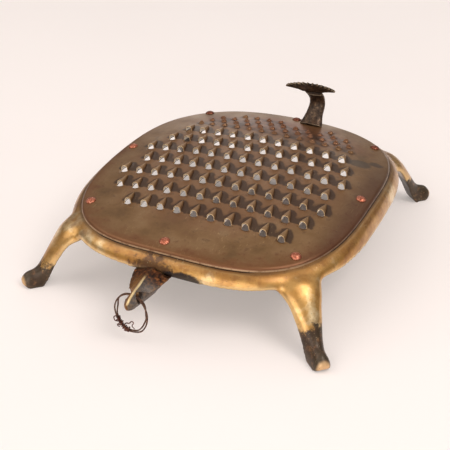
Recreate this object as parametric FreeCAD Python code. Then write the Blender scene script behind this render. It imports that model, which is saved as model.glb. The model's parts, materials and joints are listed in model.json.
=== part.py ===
import FreeCAD, Part
import math
import os
from FreeCAD import Placement, Rotation, Vector

# Footed kitchen grater: a brass frame on four legs, a domed sheet of grating teeth riveted to it,
# an iron coconut scraper at the back and a lug with a loose wire ring at the front.
# Millimetres, +Z up, floor at z = 0. Shapes are drawn about the plate's centre, with the scraper
# towards +Y, and moved along Y as they are written out, so that the origin is the footprint's centre.

PLATE_CENTRE_Y = 14.138

# The sheet: a rounded rectangle in plan, dished like a piece of a large ball.
HALF_WIDTH = 94.5
HALF_LENGTH = 108.5
CORNER_EXPONENT = 3.0
OUTLINE_POINTS = 48
DOME_TOP = 61.0
DOME_RADIUS = 545.0
SHEET = 1.0
EDGE_ROLL = 2.2
CREASE = 0.15
LIP_DROP = 2.6

# The frame: a ledge under the sheet's edge and a convex skirt that flares out below it.
LIP_GAP = 0.05
SHOULDER = 0.15
SKIRT_BOTTOM = 37.5
SKIRT_FLARE = 7.0
SKIRT_WALL = 3.0
LEDGE_WIDTH = 13.0
LEDGE_THICKNESS = 3.0
ABOVE_ALL = 80.0

# Grating teeth: rows of half-round hoods that open towards -Y and taper towards +Y.
TOOTH_PITCH = 12.0
TOOTH_ROW_PITCH = 18.4
TOOTH_FIRST_ROW_Y = -71.0
TOOTH_COUNTS = [10, 12, 13, 12, 13, 12, 11]
TOOTH_ROW_SHIFT = [4.7, 0.0, -1.1, 0.5, -0.3, 1.3, -0.6]
TOOTH_RADIUS = 2.8
TOOTH_LENGTH = 9.8
TOOTH_WALL = 0.6
TOOTH_LIFT = 0.5
TOOTH_TIP = 0.9
TOOTH_HOLLOW_TIP = 0.45
TOOTH_END = 2.2
TOOTH_MOUTH = 1.6
TOOTH_BITE = 2.05
TOOTH_BITE_Y = -0.15

# Fine burrs: small pierced points between the teeth and the scraper, inside an oval.
BURR_PITCH = 10.0
BURR_ROW_PITCH = 9.0
BURR_FIRST_ROW_Y = 59.5
BURR_ROWS = 4
BURR_FIELD_HALF_WIDTH = 86.0
BURR_FIELD_LENGTH = 102.0
BURR_BASE = 1.7
BURR_TIP = 0.9
BURR_HEIGHT = 1.4
BURR_HOLE = 0.55

# Rivets: four at the corners and one by the middle of each side, placed by hand.
RIVETS = {
    "rivet_front_left": (-76.0, -74.0),
    "rivet_left": (-87.5, 3.0),
    "rivet_back_left": (-66.5, 88.0),
    "rivet_back": (2.0, 101.5),
    "rivet_back_right": (71.0, 82.5),
    "rivet_right": (87.5, -2.5),
    "rivet_front_right": (72.0, -80.0),
    "rivet_front": (-6.7, -100.0),
}
RIVET_SHANK = 1.5
RIVET_HOLE = 1.55
RIVET_HEAD = 3.4
RIVET_HEAD_HEIGHT = 1.7
RIVET_TAIL = 2.4
RIVET_TAIL_HEIGHT = 1.0

# Legs: D-shaped sections down the diagonal of each corner, as
# (crest out, crest height, inner out, inner height, width), measured from the sheet's corner.
LEG_SECTIONS = [
    (-3.0, 44.4, -4.0, 38.0, 33.0),
    (6.5, 43.4, 3.6, 36.0, 31.0),
    (14.5, 38.5, 11.0, 31.9, 25.0),
    (20.5, 31.0, 16.2, 25.5, 20.6),
    (26.0, 23.0, 20.6, 18.4, 16.5),
    (30.5, 16.5, 24.4, 11.8, 13.6),
    (34.2, 12.6, 28.0, 4.5, 12.2),
    (37.8, 11.2, 33.8, -1.5, 12.0),
    (41.2, 9.8, 39.8, -0.4, 11.4),
    (43.6, 7.4, 43.0, 1.6, 8.8),
    (44.8, 5.8, 44.6, 3.4, 4.8),
]
LEG_NAMES = {
    "leg_front_left": (-1, -1),
    "leg_front_right": (1, -1),
    "leg_back_right": (1, 1),
    "leg_back_left": (-1, 1),
}

# Lug: a beak that points forward from the skirt, drilled across near its tip, as
# (y, half width, ridge height, side height, keel height).
LUG_X = -7.0
LUG_SECTIONS = [
    (-111.0, 13.0, 41.0, 37.6, 34.5),
    (-116.0, 12.6, 41.8, 37.5, 31.5),
    (-122.0, 11.3, 41.5, 37.0, 29.0),
    (-129.0, 8.8, 40.6, 35.8, 28.2),
    (-137.0, 6.2, 39.6, 34.6, 28.2),
    (-143.5, 4.3, 38.0, 33.4, 28.8),
    (-148.0, 1.6, 35.0, 32.4, 30.4),
]
HOLE_Y = -138.0
HOLE_Z = 34.4
HOLE_RADIUS = 3.0
HOLE_MOUTH = 5.4
HOLE_THROAT = 3.0
HOLE_REACH = 7.0

# Ring: two loops of iron wire side by side through the hole, bound together at the bottom.
RING_WIRE = 0.45
RING_LOOP_GAP = 1.0
RING_TOP_RISE = 0.5
RING_HALF_WIDTH = 11.3
RING_HALF_HEIGHT = 13.6
RING_SHIFT_X = -2.9
BINDING_OUTER = 1.9
BINDING_BORE = 1.02
BINDING_WIRE = 0.42

# Scraper: a strap bent like a swan's neck, with a foot on the sheet, a tang through the ledge
# and a toothed blade, as (x, y, z, lean in degrees from upright, width, thickness).
NECK_SECTIONS = [
    (15.4, 96.0, 51.5, 40.0, 18.6, 9.0),
    (15.6, 99.5, 55.5, 36.0, 15.8, 7.4),
    (16.3, 103.4, 61.4, 20.0, 13.2, 6.4),
    (16.8, 105.2, 66.8, 3.0, 12.6, 5.8),
    (16.4, 104.5, 71.8, -22.0, 12.8, 5.0),
    (15.0, 101.0, 76.6, -42.0, 15.0, 4.0),
]
TANG_X = 15.0
TANG_Y = 99.0
TANG_WIDTH = 7.0
TANG_DEPTH = 4.0
TANG_TAIL = 45.6
TANG_TAIL_RADIUS = 4.6
TANG_TAIL_HEIGHT = 1.6
BLADE_LEAN = 38.0
BLADE_YAW = 5.0
BLADE_ROOT = (13.2, 101.2, 76.6)
BLADE_HALF_WIDTH = 19.4
BLADE_RISE = 7.0
BLADE_LENGTH = 12.5
BLADE_DISH = 110.0
BLADE_NECK = 7.0
BLADE_THICKNESS = 1.8
BLADE_TEETH = 15
BLADE_TOOTH = 1.3


def power(value, exponent):
    """A signed power, which turns a circle's cosine and sine into a rounded rectangle's."""
    return math.copysign(abs(value) ** exponent, value)


def outline_point(angle, offset):
    """A point of the sheet's outline in plan, moved outward by the offset."""
    shrink = 2.0 / CORNER_EXPONENT
    x = (HALF_WIDTH + offset) * power(math.cos(angle), shrink)
    y = (HALF_LENGTH + offset) * power(math.sin(angle), shrink)
    return x, y


def outline_angles():
    """Angles that space the outline's points evenly enough along each side."""
    steps = [2.0 * math.pi * index / OUTLINE_POINTS for index in range(OUTLINE_POINTS)]
    return [math.atan2(power(math.sin(step), CORNER_EXPONENT / 2.0),
                       power(math.cos(step), CORNER_EXPONENT / 2.0)) for step in steps]


def ring_wire(offset, height):
    """A closed curve round the outline; height is a number or a function of x and y."""
    points = []
    for angle in outline_angles():
        x, y = outline_point(angle, offset)
        z = height(x, y) if callable(height) else height
        points.append(Vector(x, y, z))
    curve = Part.BSplineCurve()
    curve.interpolate(Points=points, PeriodicFlag=True)
    return Part.Wire(curve.toShape())


def outline_prism(offset, bottom, top):
    """The outline as an upright solid."""
    face = Part.Face(ring_wire(offset, bottom))
    return face.extrude(Vector(0, 0, top - bottom))


def dome_height(x, y, below=0.0):
    """Height of the sheet's upper surface, or of one that lies below it."""
    radius = DOME_RADIUS - below
    return DOME_TOP - DOME_RADIUS + math.sqrt(radius ** 2 - x ** 2 - y ** 2)


def dome_ball(below=0.0):
    """The ball whose top is the sheet's upper surface, or one below it; its poles point along Y."""
    ball = Part.makeSphere(DOME_RADIUS - below)
    ball.Placement = Placement(Vector(0, 0, DOME_TOP - DOME_RADIUS), Rotation(Vector(1, 0, 0), 90))
    return ball


def on_dome(x, y):
    """The placement that stands a shape on the sheet at right angles to it."""
    normal = Vector(x, y, DOME_RADIUS)
    return Placement(Vector(x, y, dome_height(x, y)), Rotation(Vector(0, 0, 1), normal))


def largest_solid(shape):
    """The biggest piece that a cut leaves."""
    return max(shape.Solids, key=lambda solid: solid.Volume)


def stacked_solid(rings):
    """A solid whose smooth wall runs through the rings, upright below the first and above the last."""
    bottom, top = ring_wire(rings[0][0], SKIRT_BOTTOM), ring_wire(rings[-1][0], ABOVE_ALL)
    wires = [ring_wire(offset, height) for offset, height in rings]
    faces = Part.makeLoft(wires, False, False).Faces + Part.makeLoft([wires[-1], top], False, True).Faces
    if callable(rings[0][1]):
        faces += Part.makeLoft([bottom, wires[0]], False, True).Faces
    else:
        bottom = wires[0]
    shell = Part.makeShell(faces + [Part.Face(bottom), Part.Face(top)])
    shell.sewShape()
    solid = Part.makeSolid(shell)
    if solid.Volume < 0:
        solid.reverse()
    return solid


def rolled_cap(inset, roll):
    """A solid cap under the dome, with its upper edge rounded."""
    rings = []
    for rise in [0.0, 0.2, 0.4, 0.58, 0.74, 0.86, 0.94, 0.985, 1.0]:
        offset = -inset - roll * (1.0 - math.sqrt(1.0 - rise ** 2))

        def height(x, y, rise=rise):
            return dome_height(x, y, inset) - roll + (roll + CREASE) * rise

        rings.append((offset, height))
    return largest_solid(stacked_solid(rings).common(dome_ball(inset)))


def tooth_places():
    """The foot of every tooth's arch, row by row."""
    places = []
    for row, count in enumerate(TOOTH_COUNTS):
        y = TOOTH_FIRST_ROW_Y + row * TOOTH_ROW_PITCH
        for column in range(count):
            x = TOOTH_ROW_SHIFT[row] + (column - (count - 1) / 2.0) * TOOTH_PITCH
            places.append((x, y))
    return places


def burr_places():
    """The fine burrs that lie inside the oval field and clear of the scraper's foot."""
    places = []
    for row in range(BURR_ROWS):
        y = BURR_FIRST_ROW_Y + row * BURR_ROW_PITCH
        reach = BURR_FIELD_HALF_WIDTH * math.sqrt(1.0 - (y / BURR_FIELD_LENGTH) ** 2)
        count = 2 * int(reach / BURR_PITCH) + 1 - row % 2
        for column in range(count):
            x = (column - (count - 1) / 2.0) * BURR_PITCH
            at_foot = abs(x - TANG_X) < 15.0 and y > 84.0
            if not at_foot:
                places.append((x, y))
    return places


def level_cone(radius, tip, length, front=0.0):
    """A blunt cone lying along +Y on the sheet; its wide end starts in front of the origin."""
    wide = radius + (radius - tip) * front / length
    return Part.makeCone(wide, tip, length + front, Vector(0, -front, TOOTH_LIFT), Vector(0, 1, 0))


def tooth_hollow():
    """What a tooth's punch leaves open: the inside of the hood and a round bite below its mouth."""
    bore = TOOTH_RADIUS - TOOTH_WALL
    inside = level_cone(bore, TOOTH_HOLLOW_TIP, TOOTH_LENGTH - TOOTH_END, TOOTH_MOUTH)
    bite = Part.makeCylinder(TOOTH_BITE, 4.0, Vector(0, TOOTH_BITE_Y, -2.7))
    return inside.fuse(bite)


def placed_copies(shape, places):
    """Copies of a shape standing on the dome."""
    copies = []
    for x, y in places:
        copy = shape.copy()
        copy.Placement = on_dome(x, y)
        copies.append(copy)
    return copies


def grater_plate():
    """The domed sheet with its turned-down edge, hooded teeth and fine burrs."""
    sheet = rolled_cap(0.0, EDGE_ROLL).cut(rolled_cap(SHEET, EDGE_ROLL - SHEET))
    sheet = largest_solid(sheet.cut(dome_ball(LIP_DROP)))
    sheet = sheet.cut(Part.makeCompound(rivet_holes() + [tang_block(0.1)]))
    hood = level_cone(TOOTH_RADIUS, TOOTH_TIP, TOOTH_LENGTH)
    burr = Part.makeCone(BURR_BASE, BURR_TIP, BURR_HEIGHT + 0.3, Vector(0, 0, -0.3))
    pierced = Part.makeCylinder(BURR_HOLE, 6.0, Vector(0, 0, -3.0))
    raised = placed_copies(hood, tooth_places()) + placed_copies(burr, burr_places())
    raised = [piece.cut(dome_ball(SHEET / 2.0)) for piece in raised]
    sheet = sheet.fuse(raised)
    holes = placed_copies(tooth_hollow(), tooth_places()) + placed_copies(pierced, burr_places())
    return largest_solid(sheet.cut(holes))


def skirt_body(inset):
    """The frame's outer form as a solid: the convex skirt, then upright from the sheet's lip."""
    rings = []
    for share in [0.0, 0.15, 0.35, 0.55, 0.72, 0.86, 0.95, 1.0]:
        offset = LIP_GAP + SKIRT_FLARE * math.sqrt(1.0 - share ** 2) - inset

        def height(x, y, share=share):
            return SKIRT_BOTTOM + share * (dome_height(x, y, LIP_DROP) + SHOULDER - SKIRT_BOTTOM)

        rings.append((offset, height if share else SKIRT_BOTTOM))
    return stacked_solid(rings)


def cast_frame():
    """The brass casting: a ledge that carries the sheet, and the skirt round it."""
    seat = rolled_cap(SHEET + LIP_GAP, EDGE_ROLL - SHEET)
    flange = skirt_body(0.0).common(dome_ball(LIP_DROP))
    hollow = skirt_body(SKIRT_WALL).common(dome_ball(SHEET + LEDGE_THICKNESS))
    opening = outline_prism(-LEDGE_WIDTH, SKIRT_BOTTOM - 1.0, ABOVE_ALL)
    frame = flange.fuse(seat).cut(hollow).cut(opening)
    return largest_solid(frame.cut(Part.makeCompound(rivet_holes() + [tang_block(0.1)])))


def rivet_holes():
    """Round holes through the sheet and the ledge for every rivet."""
    drill = Part.makeCylinder(RIVET_HOLE, 12.0, Vector(0, 0, -9.0))
    return placed_copies(drill, RIVETS.values())


def domed_button(radius, height, direction):
    """A rivet's head: a low dome with a flat back at z = 0."""
    ball_radius = (radius ** 2 + height ** 2) / (2.0 * height)
    ball = Part.makeSphere(ball_radius, Vector(0, 0, direction * (height - ball_radius)))
    low = 0.0 if direction > 0 else -height
    return ball.common(Part.makeCylinder(radius, height, Vector(0, 0, low)))


def rivet(x, y):
    """A copper rivet: domed head, shank through sheet and ledge, and a hammered tail."""
    grip = SHEET + LEDGE_THICKNESS
    head = domed_button(RIVET_HEAD, RIVET_HEAD_HEIGHT, 1)
    shank = Part.makeCylinder(RIVET_SHANK, grip + 0.1, Vector(0, 0, -grip - 0.05))
    tail = domed_button(RIVET_TAIL, RIVET_TAIL_HEIGHT, -1)
    tail.translate(Vector(0, 0, -grip - 0.02))
    solid = head.fuse([shank, tail]).removeSplitter()
    solid.Placement = on_dome(x, y)
    return solid


def leg_section(crest_out, crest_z, inner_out, inner_z, width):
    """A D-shaped wire: round on the outer side, flat inside. Out runs along local X."""
    across = Vector(0, width / 2.0, 0)
    crest = Vector(crest_out, 0, crest_z)
    inner = Vector(inner_out, 0, inner_z)
    depth = crest.sub(inner)
    points = []
    for step in range(9):
        angle = math.pi * step / 8.0
        side = across * (math.cos(angle))
        rise = depth * (math.sin(angle) ** 0.8)
        points.append(inner.add(side).add(rise))
    curve = Part.BSplineCurve()
    curve.interpolate(points)
    return Part.Wire([curve.toShape(), Part.makeLine(points[-1], points[0])])


def leg(sign_x, sign_y):
    """A splayed leg with a turned-out toe, brazed to the skirt at its corner."""
    body = Part.makeLoft([leg_section(*section) for section in LEG_SECTIONS], True, False)
    corner_x, corner_y = outline_point(math.pi / 4.0, 0.0)
    turn = math.degrees(math.atan2(sign_y, sign_x))
    corner = Vector(sign_x * corner_x, sign_y * corner_y, 0)
    body.Placement = Placement(corner, Rotation(Vector(0, 0, 1), turn))
    floor = Part.makeBox(500, 500, 50, Vector(-250, -250, -50))
    return largest_solid(body.cut(skirt_body(0.0)).cut(floor))


def lug_section(y, half_width, ridge, side, keel):
    """A section of the lug across Y: a ridge on top, two flanks and a narrow keel."""
    points = [
        Vector(LUG_X, y, ridge),
        Vector(LUG_X + half_width, y, side),
        Vector(LUG_X + 0.45 * half_width, y, keel),
        Vector(LUG_X - 0.45 * half_width, y, keel),
        Vector(LUG_X - half_width, y, side),
    ]
    return Part.makePolygon(points + points[:1])


def lug_hole():
    """The cross hole for the ring, worn wide at both mouths so that the loops can swing."""
    middle = Vector(LUG_X, HOLE_Y, HOLE_Z)
    throat_start = middle - Vector(HOLE_THROAT, 0, 0)
    pieces = [Part.makeCylinder(HOLE_RADIUS, 2.0 * HOLE_THROAT, throat_start, Vector(1, 0, 0))]
    for side in [-1, 1]:
        start = middle + Vector(side * (HOLE_THROAT - 0.01), 0, 0)
        length = HOLE_REACH - HOLE_THROAT
        pieces.append(Part.makeCone(HOLE_RADIUS, HOLE_MOUTH, length, start, Vector(side, 0, 0)))
    return pieces[0].fuse(pieces[1:])


def front_lug():
    """The beak-shaped lug at the front, with a cross hole for the ring."""
    body = Part.makeLoft([lug_section(*section) for section in LUG_SECTIONS], True, False)
    return largest_solid(body.cut(skirt_body(0.0)).cut(lug_hole()))


def oval_wire(half_width, half_height, centre, plane_y):
    """A closed oval of four tangent arcs in a plane across Y, and its starting point."""
    short = 0.9 * half_width
    spread = half_height - short
    side_radius = half_width + (spread ** 2 - (half_width - short) ** 2) / (2.0 * (half_width - short))
    side_x = side_radius - half_width
    angle = math.atan2(spread, side_x)
    x, z = centre

    def place(px, pz):
        return Vector(x + px, plane_y, z + pz)

    top = place(0, half_height)
    bottom = place(0, -half_height)
    joints = []
    for quarter_x, quarter_z in [(1, 1), (1, -1), (-1, -1), (-1, 1)]:
        px = quarter_x * (-side_x + side_radius * math.cos(angle))
        pz = quarter_z * side_radius * math.sin(angle)
        joints.append(place(px, pz))
    edges = [
        Part.Arc(joints[3], top, joints[0]).toShape(),
        Part.Arc(joints[0], place(half_width, 0), joints[1]).toShape(),
        Part.Arc(joints[1], bottom, joints[2]).toShape(),
        Part.Arc(joints[2], place(-half_width, 0), joints[3]).toShape(),
    ]
    return Part.Wire(edges), joints[3], edges[0].tangentAt(edges[0].FirstParameter)


def ring_centre():
    """The middle of the hanging loops in X and Z."""
    return LUG_X + RING_SHIFT_X, HOLE_Z + RING_TOP_RISE - RING_HALF_HEIGHT


def ring_loop(side):
    """One closed loop of iron wire; side is -1 or 1 along Y."""
    plane_y = HOLE_Y + side * RING_LOOP_GAP / 2.0
    path, start, tangent = oval_wire(RING_HALF_WIDTH, RING_HALF_HEIGHT, ring_centre(), plane_y)
    section = Part.Wire(Part.makeCircle(RING_WIRE, start, tangent))
    return path.makePipeShell([section], True, True)


def arc_tube(radius, bore, start, middle, end):
    """A tube or a rod along an arc through three points; bore 0 makes a rod."""
    path = Part.Wire(Part.Arc(start, middle, end).toShape())
    tangent = path.Edges[0].tangentAt(path.Edges[0].FirstParameter)
    solid = path.makePipeShell([Part.Wire(Part.makeCircle(radius, start, tangent))], True, True)
    if bore:
        core = path.makePipeShell([Part.Wire(Part.makeCircle(bore, start, tangent))], True, True)
        solid = solid.cut(core)
    return solid


def ring_binding():
    """The wrapped wire that binds the loops at the lower left, with its loose ends."""
    centre_x, centre_z = ring_centre()

    def on_oval(degrees, stretch=1.0, y=0.0):
        angle = math.radians(degrees)
        x = centre_x + stretch * RING_HALF_WIDTH * math.cos(angle)
        z = centre_z + stretch * RING_HALF_HEIGHT * math.sin(angle)
        return Vector(x, HOLE_Y + y, z)

    sleeve = arc_tube(BINDING_OUTER, BINDING_BORE, on_oval(208), on_oval(232), on_oval(256))
    ends = [
        arc_tube(BINDING_WIRE, 0, on_oval(214, 1.1), on_oval(212, 1.24, 0.8), on_oval(222, 1.34, 0.3)),
        arc_tube(BINDING_WIRE, 0, on_oval(206, 1.11), on_oval(198, 1.22, -0.8), on_oval(192, 1.12, -1.8)),
        arc_tube(BINDING_WIRE, 0, on_oval(244, 1.1), on_oval(247, 1.2), on_oval(246, 1.27, 1.0)),
        arc_tube(BINDING_WIRE, 0, on_oval(232, 0.89), on_oval(252, 0.62), on_oval(275, 0.8)),
    ]
    return largest_solid(sleeve.fuse(ends))


def strap_section(x, y, z, lean, width, thickness):
    """An oval section of the scraper's strap, square to its line."""
    ellipse = Part.Ellipse(Vector(0, 0, 0), width / 2.0, thickness / 2.0)
    wire = Part.Wire(ellipse.toShape())
    wire.Placement = Placement(Vector(x, y, z), Rotation(Vector(1, 0, 0), -lean))
    return wire


def tang_block(clearance):
    """The tang below the scraper's foot, or the slot that it goes through."""
    width = TANG_WIDTH + 2.0 * clearance
    depth = TANG_DEPTH + 2.0 * clearance
    height = DOME_TOP - TANG_TAIL
    corner = Vector(TANG_X - width / 2.0, TANG_Y - depth / 2.0, TANG_TAIL)
    return Part.makeBox(width, depth, height, corner)


def scraper_neck():
    """The forged strap: a foot on the sheet, a hammered tang below it and the curved neck."""
    strap = Part.makeLoft([strap_section(*section) for section in NECK_SECTIONS], True, False)
    strap = largest_solid(strap.cut(dome_ball()))
    tang = tang_block(0.0).common(dome_ball())
    tail = domed_button(TANG_TAIL_RADIUS, TANG_TAIL_HEIGHT, -1)
    tail.translate(Vector(0, 0, -SHEET - LEDGE_THICKNESS - LIP_GAP))
    tail.Placement = on_dome(TANG_X, TANG_Y).multiply(tail.Placement)
    return largest_solid(strap.fuse([tang, tail]))


def blade_profile():
    """The blade's flat outline: neck, sweeping shoulders and a toothed crest. X across, Y along."""
    shoulders = [
        Vector(BLADE_NECK, 0, 0),
        Vector(BLADE_NECK + 3.5, 2.6, 0),
        Vector(BLADE_HALF_WIDTH, BLADE_RISE, 0),
    ]
    crest = []
    for step in range(2 * BLADE_TEETH + 1):
        share = 1.0 - step / float(BLADE_TEETH)
        notch = BLADE_TOOTH if step % 2 else 0.0
        x = (BLADE_HALF_WIDTH - 0.6 * notch) * math.sin(share * math.pi / 2.0)
        y = BLADE_RISE + (BLADE_LENGTH - BLADE_RISE - notch) * math.cos(share * math.pi / 2.0)
        crest.append(Vector(x, y, 0))
    mirrored = [Vector(-point.x, point.y, 0) for point in reversed(shoulders[:-1])]
    points = shoulders[:-1] + crest + mirrored
    return Part.makePolygon(points + points[:1])


def scraper_blade(neck):
    """The serrated blade, a slightly dished fan welded to the top of the neck."""
    face = Part.Face(blade_profile())
    blank = face.extrude(Vector(0, 0, 12.0))
    blank.translate(Vector(0, 0, -4.0))
    middle = Vector(0, 4.0, BLADE_DISH - BLADE_THICKNESS)
    outer = Part.makeSphere(BLADE_DISH, middle)
    inner = Part.makeSphere(BLADE_DISH - BLADE_THICKNESS, middle)
    blade = largest_solid(blank.common(outer.cut(inner)))
    tilt = Rotation(Vector(0, 0, 1), BLADE_YAW) * Rotation(Vector(1, 0, 0), 90.0 + BLADE_LEAN)
    blade.Placement = Placement(Vector(*BLADE_ROOT), tilt)
    return largest_solid(blade.cut(neck))


def build():
    """Every piece by its node name."""
    pieces = {"cast_frame": cast_frame(), "grater_plate": grater_plate()}
    for name, signs in LEG_NAMES.items():
        pieces[name] = leg(*signs)
    pieces["front_lug"] = front_lug()
    for name, place in RIVETS.items():
        pieces[name] = rivet(*place)
    pieces["scraper_neck"] = scraper_neck()
    pieces["scraper_blade"] = scraper_blade(pieces["scraper_neck"])
    pieces["ring_loop_front"] = ring_loop(-1)
    pieces["ring_loop_back"] = ring_loop(1)
    pieces["ring_binding"] = ring_binding()
    return pieces


def main():
    """Write one STEP file for each piece and print its box."""
    os.makedirs("parts", exist_ok=True)
    for name, shape in build().items():
        placed = shape.copy()
        placed.translate(Vector(0, PLATE_CENTRE_Y, 0))
        placed.exportStep("parts/" + name + ".step")
        box = placed.BoundBox
        print(name, placed.isValid(), len(placed.Solids), round(placed.Volume, 1),
              [round(value, 1) for value in (box.XMin, box.XMax, box.YMin, box.YMax, box.ZMin, box.ZMax)])


main()
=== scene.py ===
"""Antique footed brass grater with a coconut scraper: looks, light and camera round the CAD frame."""
import json
import math

import bpy
import numpy as np
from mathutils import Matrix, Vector, noise
from mathutils.geometry import delaunay_2d_cdt


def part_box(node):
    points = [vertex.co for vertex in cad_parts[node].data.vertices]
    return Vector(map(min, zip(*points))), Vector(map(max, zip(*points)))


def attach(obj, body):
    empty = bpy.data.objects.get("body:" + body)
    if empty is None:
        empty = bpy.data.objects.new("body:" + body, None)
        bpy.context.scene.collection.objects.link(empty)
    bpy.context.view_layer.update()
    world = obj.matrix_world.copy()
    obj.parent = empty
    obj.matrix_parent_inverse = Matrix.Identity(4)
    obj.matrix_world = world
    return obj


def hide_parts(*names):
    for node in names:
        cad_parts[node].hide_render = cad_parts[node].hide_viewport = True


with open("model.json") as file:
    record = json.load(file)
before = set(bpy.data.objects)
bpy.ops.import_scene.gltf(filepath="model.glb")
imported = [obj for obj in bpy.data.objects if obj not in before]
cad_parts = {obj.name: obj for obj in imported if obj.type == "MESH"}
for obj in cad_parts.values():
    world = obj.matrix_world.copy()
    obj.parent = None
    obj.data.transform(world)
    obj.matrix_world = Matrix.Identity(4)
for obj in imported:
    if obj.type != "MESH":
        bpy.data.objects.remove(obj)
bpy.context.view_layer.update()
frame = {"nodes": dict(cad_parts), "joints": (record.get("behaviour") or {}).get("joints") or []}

# Driving dimensions, in metres. The plate's centre comes from the CAD frame.
plate_low, plate_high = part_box("grater_plate")
CENTRE = (plate_low + plate_high) / 2.0
HALF_WIDTH = (plate_high.x - plate_low.x) / 2.0
HALF_LENGTH = (plate_high.y - plate_low.y) / 2.0
CORNER_EXPONENT = 3.0
DOME_TOP = 0.061
DOME_RADIUS = 0.545
EDGE_ROLL = 0.0022
LIP_DROP = 0.0024
SHEET = 0.0009

TOOTH_PITCH = 0.012
TOOTH_ROW_PITCH = 0.0184
TOOTH_FIRST_ROW_Y = -0.071
TOOTH_COUNTS = [10, 12, 13, 12, 13, 12, 11]
TOOTH_ROW_SHIFT = [0.0047, 0.0, -0.0011, 0.0005, -0.0003, 0.0013, -0.0006]
TOOTH_RADIUS = 0.0026
TOOTH_LENGTH = 0.0103
TOOTH_HEIGHT = 0.0037
TOOTH_MOUTH = 0.0020
TOOTH_SHIFT = 0.00018
TOOTH_SECTIONS = [0.0, 0.05, 0.14, 0.26, 0.4, 0.54, 0.68, 0.8, 0.9, 0.97]
TOOTH_ARCH = [8, 22, 38, 54, 72, 90, 108, 126, 142, 158, 172]
TOOTH_MOUTH_ARC = [20, 42, 66, 90, 114, 138, 160]

BURR_PITCH = 0.010
BURR_ROW_PITCH = 0.009
BURR_FIRST_ROW_Y = 0.0595
BURR_ROWS = 4
BURR_FIELD = (0.086, 0.102)
BURR_SHIFT = 0.0004
BURR_SIDES = 9

# A burr's rings, up from its foot and down into its hole: radius, rise, share of the sheet's thickness.
BURR_RINGS = [(0.0025, 0.0, 0.8), (0.0021, 0.0003, 0.3), (0.0017, 0.0009, 0.1), (0.0013, 0.0013, 0.06),
              (0.00092, 0.0013, 0.05), (0.0006, 0.0006, 0.05), (0.00052, -0.0002, 0.05)]

# No burr stands where the scraper's tang goes through the sheet.
TANG_X = 0.015
TANG_CLEARANCE = 0.015
TANG_FRONT_Y = 0.084

# The sheet's mesh: points round its edge, steps of the rolled edge, and the grid over the flat.
BORDER_COUNT = 300
ROLL_STEPS = [0.0, 0.14, 0.28, 0.42, 0.56, 0.7, 0.84, 1.0]
GRID_PITCH = 0.0022
LOOP_GAP = 0.0007

# The scraper's blade: its root, its fan of teeth, and how it leans and turns.
BLADE_ROOT = Vector((0.0132, CENTRE.y + 0.1012, 0.0766))
BLADE_HALF_WIDTH = 0.0194
BLADE_RISE = 0.007
BLADE_LENGTH = 0.0125
BLADE_TEETH = 15
BLADE_NOTCH = 0.0017
BLADE_NOTCH_SIDE = 0.6
BLADE_LEAN = math.radians(38.0)
BLADE_YAW = math.radians(5.0)

# The ring's wire. Angles on the ring are in degrees, from +X up and round.
LOOP_WIRE = 0.00045
LOOP_STEPS = 180
BINDING_TURNS = 9.0
BINDING_FIRST = 206.0
BINDING_LAST = 258.0
BINDING_STEPS = 300
BINDING_WIRE = 0.00036
CURL_WIRE = 0.00040

# Voxel sizes of the remeshed skins, fine enough for the smallest detail of each.
CASTING_VOXEL = 0.0008
LUG_VOXEL = 0.00045
SCRAPER_VOXEL = 0.00032
RIVET_VOXEL = 0.00022

# The camera looks down from the front right.
CAMERA_PLACE = (0.2353, CENTRE.y - 0.5315, 0.3578)
CAMERA_DOWN = 30.845
CAMERA_ROUND = 24.981
CAMERA_LENS = 75.57
CAMERA_SENSOR = 36.0

# Soft lights: name, place, target, size in metres, watts and tint.
LIGHTS = [
    ("key", (-1.15, -0.8, 1.25), (0.0, 0.0, 0.03), 1.5, 7.5, (1.0, 0.98, 0.96)),
    ("right", (0.95, -0.3, 1.3), (0.0, 0.0, 0.03), 0.9, 9.0, (1.0, 0.975, 0.95)),
    ("back", (-0.75, 1.9, 0.5), (0.0, 0.0, 0.05), 1.0, 2.5, (1.0, 0.98, 0.96)),
    ("low_front", (0.15, -1.5, 0.45), (0.0, 0.0, 0.02), 1.2, 9.0, (1.0, 0.975, 0.95)),
]
WORLD_TINT = (1.0, 0.975, 0.955, 1.0)
WORLD_DIM = 0.08
WORLD_BRIGHT = 0.66
WORLD_BRIGHT_FROM = 0.75
FLOOR_HALF = 3.0

RIVET_NAMES = ["front_left", "left", "back_left", "back", "back_right", "right", "front_right", "front"]
LEG_NAMES = ["front_left", "front_right", "back_right", "back_left"]


# ---- plain geometry helpers

def power(value, exponent):
    """A signed power."""
    return math.copysign(abs(value) ** exponent, value)


def outline(angle, offset):
    """A point of the sheet's outline about its own centre, moved outward by the offset."""
    shrink = 2.0 / CORNER_EXPONENT
    x = (HALF_WIDTH + offset) * power(math.cos(angle), shrink)
    y = (HALF_LENGTH + offset) * power(math.sin(angle), shrink)
    return x, y


def outline_loop(offset, count):
    """Points spaced evenly along the outline."""
    dense = [outline(2.0 * math.pi * step / 4000.0, offset) for step in range(4001)]
    walked = [0.0]
    for one, two in zip(dense, dense[1:]):
        walked.append(walked[-1] + math.hypot(two[0] - one[0], two[1] - one[1]))
    marks = np.linspace(0.0, walked[-1], count, endpoint=False)
    xs = np.interp(marks, walked, [point[0] for point in dense])
    ys = np.interp(marks, walked, [point[1] for point in dense])
    return list(zip(xs, ys))


def dome(x, y):
    """Height of the sheet's upper surface."""
    return DOME_TOP - DOME_RADIUS + math.sqrt(DOME_RADIUS ** 2 - x * x - y * y)


def wobble(point, scale, seed):
    """Smooth noise between about -1 and 1."""
    x, y, z = point
    return noise.noise(Vector((x / scale + seed, y / scale - seed, z / scale + 0.37 * seed)))


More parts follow.
